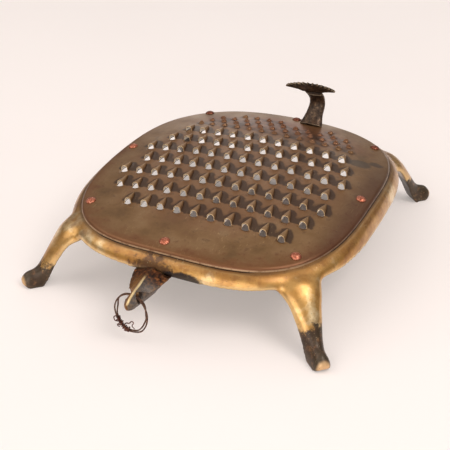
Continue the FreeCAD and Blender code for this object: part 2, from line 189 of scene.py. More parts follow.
def smooth_step(low, high, value):
    """0 below low, 1 above high and smooth between."""
    t = min(1.0, max(0.0, (value - low) / (high - low)))
    return t * t * (3.0 - 2.0 * t)


def inside(loop, x, y):
    """True where a point lies inside a closed plan loop."""
    found = False
    for (x1, y1), (x2, y2) in zip(loop, loop[1:] + loop[:1]):
        if (y1 > y) != (y2 > y) and x < (x2 - x1) * (y - y1) / (y2 - y1) + x1:
            found = not found
    return found


def mesh_object(name, points, faces, smooth=True):
    """A new object from points and faces."""
    mesh = bpy.data.meshes.new(name)
    mesh.from_pydata([tuple(point) for point in points], [], faces)
    mesh.validate()
    mesh.update()
    if smooth:
        mesh.polygons.foreach_set("use_smooth", [True] * len(mesh.polygons))
    piece = bpy.data.objects.new(name, mesh)
    bpy.context.collection.objects.link(piece)
    return piece


def applied(piece):
    """Bakes a piece's modifiers into its mesh."""
    bpy.context.view_layer.update()
    graph = bpy.context.evaluated_depsgraph_get()
    mesh = bpy.data.meshes.new_from_object(piece.evaluated_get(graph))
    piece.modifiers.clear()
    old = piece.data
    piece.data = mesh
    bpy.data.meshes.remove(old)
    mesh.polygons.foreach_set("use_smooth", [True] * len(mesh.polygons))
    return piece


def copied_solids(name, nodes):
    """One object that holds copies of CAD nodes' meshes."""
    points, faces = [], []
    for node in nodes:
        mesh = frame["nodes"][node].data
        start = len(points)
        points += [vertex.co.copy() for vertex in mesh.vertices]
        faces += [[start + index for index in polygon.vertices] for polygon in mesh.polygons]
    piece = mesh_object(name, points, faces)
    weld = piece.modifiers.new("weld", "WELD")
    weld.merge_threshold = 0.000002
    return piece


def remeshed(piece, voxel):
    """Turns a piece into one even skin."""
    remesh = piece.modifiers.new("remesh", "REMESH")
    remesh.mode = "VOXEL"
    remesh.voxel_size = voxel
    remesh.use_smooth_shade = True
    return applied(piece)


def weighted_smooth(piece, weight_of, rounds, factor=0.5):
    """Relaxes a piece's mesh where weight_of(point) is above zero."""
    group = piece.vertex_groups.new(name="relax")
    for vertex in piece.data.vertices:
        weight = weight_of(vertex.co)
        if weight > 0.01:
            group.add([vertex.index], weight, "REPLACE")
    relax = piece.modifiers.new("relax", "SMOOTH")
    relax.factor = factor
    relax.iterations = rounds
    relax.vertex_group = "relax"
    piece = applied(piece)
    piece.vertex_groups.clear()
    return piece


def roughen(piece, amount_of):
    """Moves every vertex along its normal by amount_of(point), but never below the floor."""
    mesh = piece.data
    moved = [vertex.co + vertex.normal * amount_of(vertex.co) for vertex in mesh.vertices]
    for point in moved:
        point.z = max(point.z, 0.0)
    mesh.vertices.foreach_set("co", [value for point in moved for value in point])
    mesh.update()
    return piece


def table(items, name, width, kind=float):
    """One attribute of every item, a row for each."""
    values = np.zeros(len(items) * width, kind)
    items.foreach_get(name, values)
    return values.reshape(-1, width)


def paint_edges(piece, reach):
    """Stores how convex each vertex is, so that materials can wear edges and darken hollows."""
    mesh = piece.data
    count = len(mesh.vertices)
    co = table(mesh.vertices, "co", 3)
    normal = table(mesh.vertices, "normal", 3)
    edges = table(mesh.edges, "vertices", 2, int)
    one, two = edges.T
    span = co[two] - co[one]
    length = np.maximum(np.linalg.norm(span, axis=1), 1e-7)
    bend = np.einsum("ij,ij->i", normal[two] - normal[one], span) / length
    total, uses = np.zeros(count), np.zeros(count)
    for side in (0, 1):
        np.add.at(total, edges[:, side], bend)
        np.add.at(uses, edges[:, side], 1.0)
    value = total / np.maximum(uses, 1.0)
    for _ in range(2):
        blended = np.zeros(count)
        for side in (0, 1):
            np.add.at(blended, edges[:, side], value[edges[:, 1 - side]])
        value = 0.5 * value + 0.5 * blended / np.maximum(uses, 1.0)
    layer = mesh.attributes.new("convex", "FLOAT", "POINT")
    layer.data.foreach_set("value", np.clip(0.5 + reach * value, 0.0, 1.0))
    return piece


# ---- grater plate

class PlateMesh:
    """Collects the sheet's points, its teeth and its burrs, and joins them into one surface."""

    def __init__(self):
        self.points, self.faces, self.thickness = [], [], []
        self.plan, self.fixed_edges, self.loops = [], [], []

    def add(self, x, y, rise, thickness=1.0):
        """A point at plan x, y that stands the rise above the dome; returns its index."""
        self.points.append((x, y, dome(x, y) + rise))
        self.thickness.append(thickness)
        return len(self.points) - 1

    def add_loop(self, indices):
        """A closed loop of points that the flat sheet ends on."""
        self.loops.append([self.points[index][:2] for index in indices])
        self.plan += indices
        self.fixed_edges += list(zip(indices, indices[1:] + indices[:1]))


def tooth_places():
    """Where each tooth's mouth stands, with small differences from one punch blow to the next."""
    random = np.random.default_rng(11)
    places = []
    for row, count in enumerate(TOOTH_COUNTS):
        y = TOOTH_FIRST_ROW_Y + row * TOOTH_ROW_PITCH
        for column in range(count):
            x = TOOTH_ROW_SHIFT[row] + (column - (count - 1) / 2.0) * TOOTH_PITCH
            jitter = random.uniform(-1.0, 1.0, 5)
            places.append((x + TOOTH_SHIFT * jitter[0], y + TOOTH_SHIFT * jitter[1], jitter[2:]))
    return places


def burr_places():
    """Where the fine burrs stand."""
    random = np.random.default_rng(5)
    places = []
    for row in range(BURR_ROWS):
        y = BURR_FIRST_ROW_Y + row * BURR_ROW_PITCH
        reach = BURR_FIELD[0] * math.sqrt(1.0 - (y / BURR_FIELD[1]) ** 2)
        count = 2 * int(reach / BURR_PITCH) + 1 - row % 2
        for column in range(count):
            x = (column - (count - 1) / 2.0) * BURR_PITCH
            jitter = random.uniform(-1.0, 1.0, 4)
            if abs(x - TANG_X) >= TANG_CLEARANCE or y <= TANG_FRONT_Y:
                places.append((x + BURR_SHIFT * jitter[0], y + BURR_SHIFT * jitter[1], jitter))
    return places


def add_tooth(plate, x, y, jitter):
    """A hooded tooth: an arched mouth towards -Y and a hood that tapers into the sheet."""
    turn = 0.05 * jitter[0]
    size = 1.0 + 0.05 * jitter[1]
    length = TOOTH_LENGTH * (1.0 + 0.04 * jitter[2])
    cosine, sine = math.cos(turn), math.sin(turn)

    def place(across, along, rise, thickness):
        turned_x = across * cosine - along * sine
        turned_y = across * sine + along * cosine
        return plate.add(x + turned_x, y + turned_y, rise, thickness)

    rows = []
    for along in TOOTH_SECTIONS:
        radius = TOOTH_RADIUS * size * (1.0 - along ** 1.45)
        height = TOOTH_HEIGHT * size * (1.0 - 0.38 * along)
        height *= 1.0 - 0.8 * smooth_step(0.84, 1.03, along)
        flare = 0.00006 + 0.0007 * smooth_step(0.0, 0.3, along) * (1.0 - 0.55 * along)
        body = min(0.56, 0.1 + radius / TOOTH_RADIUS * 0.5)
        ends = min(1.0, body + 0.3)
        row = [place(-radius - flare, along * length, 0.0, ends)]
        row.append(place(-radius - 0.3 * flare, along * length, 0.14 * height, body))
        for degrees in TOOTH_ARCH:
            angle = math.radians(degrees)
            rise = height * (0.1 + 0.9 * math.sin(angle) ** 0.85)
            row.append(place(-radius * power(math.cos(angle), 0.8), along * length, rise, body))
        row.append(place(radius + 0.3 * flare, along * length, 0.14 * height, body))
        row.append(place(radius + flare, along * length, 0.0, ends))
        rows.append(row)
    for near, far in zip(rows, rows[1:]):
        for left in range(len(near) - 1):
            plate.faces.append([near[left], near[left + 1], far[left + 1], far[left]])
    tip = place(0.0, 1.04 * length, 0.0, 0.4)
    for left, right in zip(rows[-1], rows[-1][1:]):
        plate.faces.append([left, right, tip])
    front = []
    for degrees in TOOTH_MOUTH_ARC:
        angle = math.radians(degrees)
        across = TOOTH_RADIUS * size * math.cos(angle)
        front.append(place(across, -TOOTH_MOUTH * size * math.sin(angle), 0.0, 1.0))
    right_side = [row[-1] for row in reversed(rows)]
    left_side = [row[0] for row in rows]
    plate.add_loop(left_side + [tip] + right_side + front)


def add_burr(plate, x, y, jitter):
    """A small ragged crater pushed up by a nail."""
    height = 1.0 + 0.25 * jitter[2]
    rings = []
    for level, (radius, rise, thickness) in enumerate(BURR_RINGS):
        ring = []
        for step in range(BURR_SIDES):
            angle = 2.0 * math.pi * step / BURR_SIDES
            ragged = 1.0 + 0.2 * math.sin(2.0 * angle + 3.0 * jitter[3]) * (level > 1)
            ragged += 0.1 * math.sin(3.0 * angle + 5.0 * jitter[1]) * (level > 1)
            tilt = 1.0 + 0.4 * math.cos(angle - 1.2 - 2.0 * jitter[0]) * (level in (3, 4))
            reach = radius * ragged
            ring.append(plate.add(x + reach * math.cos(angle), y + reach * math.sin(angle),
                                  rise * height * tilt, thickness))
        rings.append(ring)
    for outer, inner in zip(rings, rings[1:]):
        for step in range(BURR_SIDES):
            after = (step + 1) % BURR_SIDES
            plate.faces.append([outer[step], outer[after], inner[after], inner[step]])
    plate.add_loop(rings[0])


def add_border(plate):
    """The sheet's turned-down edge: rings of points that roll over and end at the lip."""
    rings = []
    for turn in ROLL_STEPS:
        angle = turn * math.pi / 2.0
        inward = -EDGE_ROLL * (1.0 - math.sin(angle))
        ring = []
        for x, y in outline_loop(inward, BORDER_COUNT):
            ring.append(plate.add(x, y, -EDGE_ROLL * (1.0 - math.cos(angle))))
        rings.append(ring)
    hem = [plate.add(*plate.points[index][:2], 0.0) for index in rings[-1]]
    for index, edge in zip(hem, rings[-1]):
        x, y, z = plate.points[edge]
        plate.points[index] = (x, y, z - (LIP_DROP - EDGE_ROLL))
    rings.append(hem)
    for inner, outer in zip(rings, rings[1:]):
        for step in range(BORDER_COUNT):
            after = (step + 1) % BORDER_COUNT
            plate.faces.append([inner[step], outer[step], outer[after], inner[after]])
    plate.plan += rings[0]
    plate.fixed_edges += list(zip(rings[0], rings[0][1:] + rings[0][:1]))
    return [plate.points[index][:2] for index in rings[0]]


def add_sheet_points(plate, border):
    """A triangular grid of points over the flat of the sheet, clear of the loops."""
    centres = np.array([np.mean(loop, axis=0) for loop in plate.loops])
    reach = np.array([max(math.dist(point, centre) for point in loop) + 0.0012
                      for loop, centre in zip(plate.loops, centres)])
    edge = np.array(border)
    row_pitch = 0.866 * GRID_PITCH
    for row in range(int(2.0 * HALF_LENGTH / row_pitch) + 1):
        y = -HALF_LENGTH + row * row_pitch
        for column in range(int(2.0 * HALF_WIDTH / GRID_PITCH) + 1):
            x = -HALF_WIDTH + (column + 0.5 * (row % 2)) * GRID_PITCH
            if not inside(border, x, y) or np.hypot(*(edge - (x, y)).T).min() < 0.8 * GRID_PITCH:
                continue
            near = np.nonzero(np.hypot(*(centres - (x, y)).T) < reach)[0]
            clear = True
            for index in near:
                loop = plate.loops[index]
                gap = np.hypot(*(np.array(loop) - (x, y)).T).min()
                if gap < LOOP_GAP or inside(loop, x, y):
                    clear = False
            if clear:
                plate.plan.append(plate.add(x, y, 0.0))


def fill_sheet(plate, border):
    """Triangles between the border, the loops and the grid."""
    order = {index: place for place, index in enumerate(plate.plan)}
    flat = [Vector(plate.points[index][:2]) for index in plate.plan]
    edges = [(order[one], order[two]) for one, two in plate.fixed_edges]
    found = delaunay_2d_cdt(flat, edges, [], 0, 1e-7)
    sources = found[3]
    centres = np.array([np.mean(loop, axis=0) for loop in plate.loops])
    for face in found[2]:
        corners = [plate.plan[sources[index][0]] for index in face]
        x = sum(plate.points[index][0] for index in corners) / 3.0
        y = sum(plate.points[index][1] for index in corners) / 3.0
        near = np.nonzero(np.hypot(*(centres - (x, y)).T) < 0.009)[0]
        if inside(border, x, y) and not any(inside(plate.loops[index], x, y) for index in near):
            plate.faces.append(corners)


def make_plate():
    """The domed, hand-punched sheet, with its thickness and a worn rim on every opening."""
    plate = PlateMesh()
    border = add_border(plate)
    for x, y, jitter in tooth_places():
        add_tooth(plate, x, y, jitter)
    for x, y, jitter in burr_places():
        add_burr(plate, x, y, jitter)
    add_sheet_points(plate, border)
    fill_sheet(plate, border)
    points = []
    for x, y, z in plate.points:
        middle = smooth_step(0.0, 0.02, min(HALF_WIDTH - abs(x), HALF_LENGTH - abs(y)))
        dents = 0.00022 * wobble((x, y, 0.0), 0.022, 3.1) + 0.00007 * wobble((x, y, 0.0), 0.007, 8.0)
        points.append((x + CENTRE.x, y + CENTRE.y, z + (dents - 0.00012) * middle))
    piece = mesh_object("plate_sheet", points, plate.faces)
    group = piece.vertex_groups.new(name="gauge")
    for index, value in enumerate(plate.thickness):
        group.add([index], value, "REPLACE")
    gauge = piece.modifiers.new("gauge", "SOLIDIFY")
    gauge.thickness = SHEET
    gauge.offset = -1.0
    gauge.vertex_group = "gauge"
    gauge.material_offset_rim = 1
    gauge.material_offset = 2
    return piece


# ---- castings

def leg_root_weight(point):
    """How strongly the skirt and the legs are blended at a point."""
    corner = Vector(outline(math.pi / 4.0, 0.0))
    out = (abs(point.x) - corner.x + abs(point.y - CENTRE.y) - corner.y) / math.sqrt(2.0)
    across = abs((abs(point.x) - corner.x) - (abs(point.y - CENTRE.y) - corner.y)) / math.sqrt(2.0)
    near = 1.0 - smooth_step(0.018, 0.034, across)
    return near * smooth_step(-0.012, -0.004, out) * (1.0 - smooth_step(0.016, 0.026, out))


def make_casting():
    """The frame and its legs as one brass skin whose joints are filed smooth."""
    nodes = ["cast_frame"] + ["leg_" + name for name in LEG_NAMES]
    piece = remeshed(copied_solids("brass_casting", nodes), CASTING_VOXEL)
    piece = weighted_smooth(piece, lambda point: 1.0, 4)
    piece = weighted_smooth(piece, leg_root_weight, 40, 0.7)

    def hammered(point):
        slow = wobble(point, 0.021, 1.7)
        quick = wobble(point, 0.006, 5.2)
        return 0.00022 * slow + 0.00006 * quick - 0.00008

    return paint_edges(roughen(piece, hammered), 2.2)


def make_lug():
    """The beak-shaped lug, with the lumpy braze that holds it."""
    piece = remeshed(copied_solids("lug_beak", ["front_lug"]), LUG_VOXEL)
    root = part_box("front_lug")[1].y - 0.012

    def at_root(point):
        return 0.25 + 0.75 * smooth_step(root - 0.008, root, point.y)

    piece = weighted_smooth(piece, at_root, 5)
    hinge = Vector(frame["joints"][0]["pos_m"])

    def lumpy(point):
        from_hole = math.hypot(point.y - hinge.y, point.z - hinge.z)
        worn_mouth = 1.0 - smooth_step(0.0050, 0.0085, from_hole)
        braze = smooth_step(root - 0.009, root, point.y)
        lumps = wobble(point, 0.0026, 2.4)
        pits = min(0.0, wobble(point, 0.0012, 9.1) + 0.25)
        slow = wobble(point, 0.008, 4.4)
        even = 0.00012 * slow - 0.0001 - 0.0003 * worn_mouth
        return even + braze * (0.00035 * lumps + 0.0007 * pits)

    return paint_edges(roughen(piece, lumpy), 1.6)


def file_notches(piece):
    """Files the gaps between the blade's teeth deeper, towards the middle of its fan."""
    across = Vector((math.cos(BLADE_YAW), math.sin(BLADE_YAW), 0.0))
    lean = math.sin(BLADE_LEAN)
    outwards = Vector((lean * math.sin(BLADE_YAW), -lean * math.cos(BLADE_YAW), math.cos(BLADE_LEAN)))
    for vertex in piece.data.vertices:
        from_root = vertex.co - BLADE_ROOT
        side = from_root.dot(across) / BLADE_HALF_WIDTH
        rise = (from_root.dot(outwards) - BLADE_RISE) / (BLADE_LENGTH - BLADE_RISE)
        if rise <= 0.0:
            continue
        angle = math.atan2(side, rise)
        place = (1.0 - 2.0 * angle / math.pi) * BLADE_TEETH
        gap = 1.0 - abs(place % 2.0 - 1.0)
        depth = BLADE_NOTCH * gap * smooth_step(0.55, 0.9, math.hypot(side, rise))
        vertex.co -= depth * (math.cos(angle) * outwards + BLADE_NOTCH_SIDE * math.sin(angle) * across)


def make_scraper():
    """The forged scraper: strap and serrated blade in one skin."""
    piece = remeshed(copied_solids("scraper_forged", ["scraper_neck", "scraper_blade"]), SCRAPER_VOXEL)
    weld_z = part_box("scraper_blade")[0].z

    def softness(point):
        return 1.0 - smooth_step(weld_z + 0.001, weld_z + 0.005, point.z)

    piece = weighted_smooth(piece, softness, 14)

    def hammered(point):
        slow = wobble(point, 0.0055, 6.1)
        quick = wobble(point, 0.0016, 2.2)
        strap = 1.0 - smooth_step(weld_z, weld_z + 0.006, point.z)
        return (0.00022 * slow + 0.00005 * quick - 0.0001) * (0.3 + 0.7 * strap)

    file_notches(piece)
    return paint_edges(roughen(piece, hammered), 1.4)


def make_rivet(name, seed):
    """A hand-closed copper rivet: head, shank and hammered tail in one skin."""
    piece = remeshed(copied_solids("rivet_head_" + name, ["rivet_" + name]), RIVET_VOXEL)
    piece = weighted_smooth(piece, lambda point: 1.0, 3)

    def hammered(point):
        return 0.0001 * wobble(point, 0.0016, seed) + 0.00016

    return paint_edges(roughen(piece, hammered), 1.0)


# ---- wire ring

def tube(path, radius_of, sides, closed):
    """Points and faces of a round tube along a path."""
    path = [Vector(point) for point in path]
    count = len(path)
    points, faces = [], []
    normal = None
    for index in range(count):
        before = path[index - 1] if closed or index else path[0]
        after = path[(index + 1) % count] if closed or index < count - 1 else path[-1]
        tangent = (after - before).normalized()
        if normal is None:
            normal = tangent.cross(Vector((0.31, 0.95, 0.1))).normalized()
        normal = (normal - tangent * normal.dot(tangent)).normalized()
        side = tangent.cross(normal)
        radius = radius_of(index / max(1, count - 1))
        for step in range(sides):
            angle = 2.0 * math.pi * step / sides
            points.append(path[index] + (normal * math.cos(angle) + side * math.sin(angle)) * radius)
    for index in range(count if closed else count - 1):
        here, there = index * sides, ((index + 1) % count) * sides
        for step in range(sides):
            after = (step + 1) % sides
            faces.append([here + step, here + after, there + after, there + step])
    if not closed:
        faces.append(list(range(sides))[::-1])
        faces.append([(count - 1) * sides + step for step in range(sides)])
    return points, faces


def ring_shape():
    """Centre and half sizes of the hanging ring, from the CAD loops."""
    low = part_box("ring_loop_front")[0]
    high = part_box("ring_loop_back")[1]
    half = (high - low) / 2.0
    return (low + high) / 2.0, half.x - LOOP_WIRE, half.z - LOOP_WIRE


def loop_path(side, seed):
    """One uneven loop of wire. The two loops part at the sides and meet in the hole and the knot."""
    centre, half_x, half_z = ring_shape()
    furthest_in = 0.0021 if side > 0 else 0.0001
    path = []
    for step in range(LOOP_STEPS):
        angle = 2.0 * math.pi * step / LOOP_STEPS
        parted = max(0.0, math.cos(angle + 0.25)) ** 1.5 + 0.6 * max(0.0, math.cos(angle - 2.75)) ** 3
        calm = 0.2 + 0.8 * smooth_step(-0.6, 0.5, -math.sin(angle))
        bend = 0.0003 * calm * wobble((3.0 * math.cos(angle), 3.0 * math.sin(angle), 0.0), 1.3, seed)
        kink = 0.0002 * calm * math.sin(5.0 * angle + seed)
        beside_lug = smooth_step(0.2, 0.75, math.sin(angle))
        inward = furthest_in * parted * (1.0 - beside_lug)
        x = centre.x + (half_x - inward + bend + kink) * math.cos(angle)
        z = centre.z + (half_z - inward + bend) * math.sin(angle)
        path.append((x, centre.y + side * (0.0005 + 0.0004 * parted), z))
    return path


def make_loop(name, side, seed):
    """A closed loop of rusty wire."""
    def gauge(share):
        return 0.00047 + 0.00004 * math.sin(40.0 * share + seed)

    return paint_edges(mesh_object(name, *tube(loop_path(side, seed), gauge, 12, True)), 1.0)


def make_binding():
    """The thin wire wrapped round both loops at the lower left, with loose curled ends."""
    centre, half_x, half_z = ring_shape()

    def on_ring(degrees, stretch=1.0, y=0.0):
        angle = math.radians(degrees)
        return Vector((centre.x + stretch * half_x * math.cos(angle), centre.y + y,
                       centre.z + stretch * half_z * math.sin(angle)))

    wrap = []
    for step in range(BINDING_STEPS + 1):
        share = step / BINDING_STEPS
        degrees = BINDING_FIRST + (BINDING_LAST - BINDING_FIRST) * share
        turn = 2.0 * math.pi * BINDING_TURNS * share
        outward = (on_ring(degrees, 1.1) - on_ring(degrees)).normalized()
        uneven = 1.0 + 0.16 * math.sin(7.0 * share * math.pi) + 0.1 * math.sin(23.0 * share)
        wrap.append(on_ring(degrees) + outward * (0.00105 * uneven * math.cos(turn))
                    + Vector((0.0, 0.0015 * uneven * math.sin(turn), 0.0)))
    # Loose ends: degrees round the ring, share of its radius, and shift along Y.
    ends = [
        [(206, 0.95, 0.0006), (202, 1.08, 0.0), (203, 1.2, -0.0006), (212, 1.27, 0.0),
         (217, 1.22, 0.0012), (214, 1.14, 0.0014)],
        [(228, 1.02, -0.0010), (226, 1.14, -0.0006), (222, 1.27, 0.0), (226, 1.36, 0.0006),
         (230, 1.34, 0.0012)],
        [(246, 1.0, -0.0012), (247, 1.12, -0.0006), (243, 1.2, 0.0), (246, 1.27, 0.0008)],
        [(236, 0.95, 0.0011), (240, 0.78, 0.0006), (252, 0.64, 0.0), (262, 0.52, 0.0006),
         (272, 0.6, 0.0010), (268, 0.72, 0.0), (280, 0.84, -0.0004)],
    ]
    points, faces = tube(wrap, lambda share: BINDING_WIRE, 8, False)
    for end in ends:
        path = smooth_path([on_ring(*corner) for corner in end], 10)
        more_points, more_faces = tube(path, lambda share: CURL_WIRE * (1.0 - 0.3 * share), 8, False)
        start = len(points)
        points += more_points
        faces += [[start + index for index in face] for face in more_faces]
    return paint_edges(mesh_object("ring_wrap", points, faces), 1.0)


def smooth_path(points, steps):
    """A Catmull-Rom curve through points."""
    path = []
    padded = [points[0] * 2.0 - points[1]] + points + [points[-1] * 2.0 - points[-2]]
    for index in range(1, len(padded) - 2):
        one, two, three, four = padded[index - 1:index + 3]
        for step in range(steps):
            t = step / steps
            squared = (one * 2.0 - two * 5.0 + three * 4.0 - four) * t * t
            cubed = (two * 3.0 - one - three * 3.0 + four) * t ** 3
            path.append(0.5 * (two * 2.0 + (three - one) * t + squared + cubed))
    path.append(points[-1])
    return path


# ---- materials

class Shader:
    """Short calls for building one node material."""

    def __init__(self, name):
        self.material = bpy.data.materials.new(name)
        self.material.use_nodes = True
        self.tree = self.material.node_tree
        self.tree.nodes.clear()
        self.out = self.node("ShaderNodeOutputMaterial")
        self.surface = self.node("ShaderNodeBsdfPrincipled")
        self.link(self.surface.outputs[0], self.out.inputs["Surface"])
        self.place = self.node("ShaderNodeTexCoord").outputs["Object"]
        split = self.node("ShaderNodeSeparateXYZ")
        self.link(self.place, split.inputs[0])
        self.x, self.y, self.z = split.outputs

    def node(self, kind, **values):
        """A new node, with values for its sockets."""
        node = self.tree.nodes.new(kind)
        for socket, value in values.items():
            node.inputs[socket].default_value = value
        return node

    def link(self, source, target):
        if hasattr(source, "links"):
            self.tree.links.new(source, target)
        else:
            target.default_value = source

    def noise(self, scale, detail=4.0, roughness=0.55, stretch=None, distortion=0.0):
        """Noise between about 0 and 1; scale is cells per metre."""
        texture = self.node("ShaderNodeTexNoise", Scale=scale, Detail=detail, Roughness=roughness,
                            Distortion=distortion)
        where = self.place
        if stretch:
            mapping = self.node("ShaderNodeMapping", Rotation=stretch[0], Scale=stretch[1])
            self.link(self.place, mapping.inputs["Vector"])
            where = mapping.outputs[0]
        self.link(where, texture.inputs["Vector"])
        return texture.outputs["Fac"]

    def cells(self, scale):
        """Distance to the nearest random point."""
        texture = self.node("ShaderNodeTexVoronoi", Scale=scale)
        self.link(self.place, texture.inputs["Vector"])
        return texture.outputs["Distance"]

    def step(self, value, low, high, start=0.0, end=1.0):
        """Maps low..high to start..end, smoothly and clamped."""
        mapping = self.node("ShaderNodeMapRange")
        mapping.interpolation_type = "SMOOTHSTEP"
        for index, number in enumerate((low, high, start, end), 1):
            mapping.inputs[index].default_value = number
        self.link(value, mapping.inputs[0])
        return mapping.outputs[0]

    def math(self, operation, one, two=0.0):
        node = self.node("ShaderNodeMath")
        node.operation = operation
        self.link(one, node.inputs[0])
        self.link(two, node.inputs[1])
        return node.outputs[0]

    def times(self, *values):
        result = values[0]
        for value in values[1:]:
            result = self.math("MULTIPLY", result, value)
        return result

    def square(self, value):
        return self.math("POWER", self.math("ABSOLUTE", value), 2.0)

    def plus(self, one, two):
        return self.math("ADD", one, two)

    def minus(self, one, two):
        return self.math("SUBTRACT", one, two)

    def swing(self, noise, reach):
        """Noise about zero, times the reach."""
        return self.times(self.minus(noise, 0.5), reach)

    def mix(self, share, one, two):
        node = self.node("ShaderNodeMix")
        node.data_type = "RGBA"
        self.link(share, node.inputs[0])
        self.link(one, node.inputs[6])
        self.link(two, node.inputs[7])
        return node.outputs[2]

    def tint(self, base, where, share, *parts):
        """Mixes a share of a colour into the base where the mask is 1."""
        return self.mix(self.times(where, share), base, rgba(*parts))

    def ramp(self, value, *stops):
        """Colours along a value; each stop is its position, red, green and blue."""
        node = self.node("ShaderNodeValToRGB")
        while len(node.color_ramp.elements) < len(stops):
            node.color_ramp.elements.new(0.5)
        for element, (position, red, green, blue) in zip(node.color_ramp.elements, stops):
            element.position = position
            element.color = rgba(red, green, blue)
        self.link(value, node.inputs[0])
        return node.outputs[0]

    def convex(self):
        node = self.node("ShaderNodeAttribute")
        node.attribute_name = "convex"
        return node.outputs["Fac"]

    def facing_down(self):
        """1 where a surface faces the floor, 0 where it faces sideways or up."""
        split = self.node("ShaderNodeSeparateXYZ")
        self.link(self.node("ShaderNodeNewGeometry").outputs["Normal"], split.inputs[0])
        return self.step(split.outputs[2], -0.15, -0.62)

    def distance(self, x, y, z, squash=(1.0, 1.0, 1.0)):
        """Distance from a point, stretched along the axes."""
        total = None
        for value, centre, scale in zip((self.x, self.y, self.z), (x, y, z), squash):
            part = self.square(self.times(self.minus(value, centre), scale))
            total = part if total is None else self.plus(total, part)
        return self.math("SQRT", total)

    def bump(self, height, strength, distance, before=None):
        node = self.node("ShaderNodeBump", Strength=strength, Distance=distance)
        self.link(height, node.inputs["Height"])
        if before is not None:
            self.link(before, node.inputs["Normal"])
        return node.outputs[0]

    def scratches(self, scale, angle, threshold, length=0.03):
        """Thin bright lines: noise stretched far along one direction, and broken up."""
        lines = self.noise(scale, 1.0, 0.5, ((0.0, 0.0, angle), (1.0, length, 1.0)), 0.2)
        patches = self.step(self.noise(34.0, 2.0, 0.5), 0.46, 0.60)
        return self.times(self.step(lines, threshold, threshold + 0.01), patches)

    def above_sheet(self):
        """Height above the sheet's upper surface; negative below it."""
        from_middle = self.plus(self.square(self.x), self.square(self.minus(self.y, CENTRE.y)))
        sag = self.times(from_middle, 0.5 / DOME_RADIUS)
        return self.minus(self.plus(self.z, sag), DOME_TOP)

    def finish(self, colour, metallic, roughness, normal=None):
        self.link(colour, self.surface.inputs["Base Color"])
        self.link(metallic, self.surface.inputs["Metallic"])
        self.link(roughness, self.surface.inputs["Roughness"])
        if normal is not None:
            self.link(normal, self.surface.inputs["Normal"])
        return self.material


def rgba(*parts):
    """A colour from its sRGB values, 0 to 255."""
    values = []
    for part in parts:
        share = part / 255.0
        values.append(share / 12.92 if share <= 0.04045 else ((share + 0.055) / 1.055) ** 2.4)
    return (*values, 1.0)


def brass_tones(s, stains, blotches):
    """Golden to pale brass, browner in hollows and brighter on worn edges, with painted shade near the
    sheet, under its lip and on faces turned to the floor.
    """
    base = s.ramp(stains, (0.30, 160, 108, 50), (0.44, 184, 132, 62), (0.56, 198, 150, 82),
                  (0.70, 232, 204, 156))
    base = s.mix(s.step(blotches, 0.52, 0.66, 0.0, 0.38), base, rgba(134, 88, 42))
    above = s.above_sheet()
    # Painted shade: an orange-brown band on the skirt just below the sheet's edge.
    painted_shade_near_sheet = s.step(s.plus(above, s.swing(blotches, 0.006)), -0.0062, -0.0034)
    base = s.tint(base, painted_shade_near_sheet, 0.4, 132, 78, 34)
    # Painted shade: a dark line in the gap just under the sheet's lip.
    painted_shade_under_lip = s.step(above, -0.0033, -0.0028)
    base = s.tint(base, painted_shade_under_lip, 0.5, 60, 36, 20)
    hollow = s.step(s.convex(), 0.49, 0.40)
    base = s.tint(base, hollow, 0.85, 46, 28, 16)
    worn = s.step(s.convex(), 0.56, 0.72)
    base = s.tint(base, worn, 0.55, 236, 206, 150)
    # Painted shade: mottled dark brown on faces turned to the floor.
    painted_shade_facing_floor = s.times(s.facing_down(), s.step(blotches, 0.36, 0.5, 0.55, 1.0))
    return s.tint(base, painted_shade_facing_floor, 0.6, 70, 46, 28)


def lower_legs(s):
    """1 on the blackened lower legs, with a ragged upper end that is lower on some legs."""
    height = s.plus(s.z, s.swing(s.noise(130.0, 6.0, 0.7), 0.026))
    front_right = s.times(s.step(s.x, 0.0, 0.01), s.step(s.y, 0.0, -0.01))
    height = s.minus(height, s.times(front_right, 0.0035))
    height = s.minus(height, s.times(s.step(s.y, 0.0, 0.01), 0.006))
    return s.step(height, 0.0190, 0.0150)


def blackened_legs(s, base, low, blotches):
    """Soot and rust on the lower legs, rubbed back to bright metal at the tips of the toes."""
    soot = s.ramp(s.noise(260.0, 5.0, 0.7), (0.38, 22, 15, 13), (0.55, 44, 30, 25), (0.68, 104, 70, 46),
                  (0.8, 184, 136, 88))
    base = s.mix(s.times(low, 0.93), base, soot)
    outwards = s.distance(0.0, CENTRE.y, 0.0, (1.0, 1.0, 0.0))
    height = s.plus(s.z, s.swing(blotches, 0.006))
    toe = s.times(s.step(outwards, 0.1562, 0.1584), s.step(height, 0.011, 0.008))
    return s.tint(base, toe, 0.9, 226, 182, 132)


def braze_patch_and_dark_web(s, base, blotches):
    """The burnt patch over the lug's root and the black web beside it."""
    root_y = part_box("front_lug")[1].y
    braze = s.distance(-0.0065, root_y - 0.002, 0.036, (0.7, 1.0, 1.0))
    burnt = s.step(s.plus(braze, s.swing(blotches, 0.03)), 0.0135, 0.0085)
    base = s.tint(base, burnt, 0.8, 62, 36, 24)
    # A near-black patch under the skirt, beside the lug's root.
    web = s.distance(0.0125, root_y - 0.003, 0.0370, (0.55, 0.5, 1.5))
    dark_web = s.step(s.plus(web, s.swing(blotches, 0.010)), 0.0090, 0.0066)
    return s.tint(base, dark_web, 0.95, 24, 18, 20)


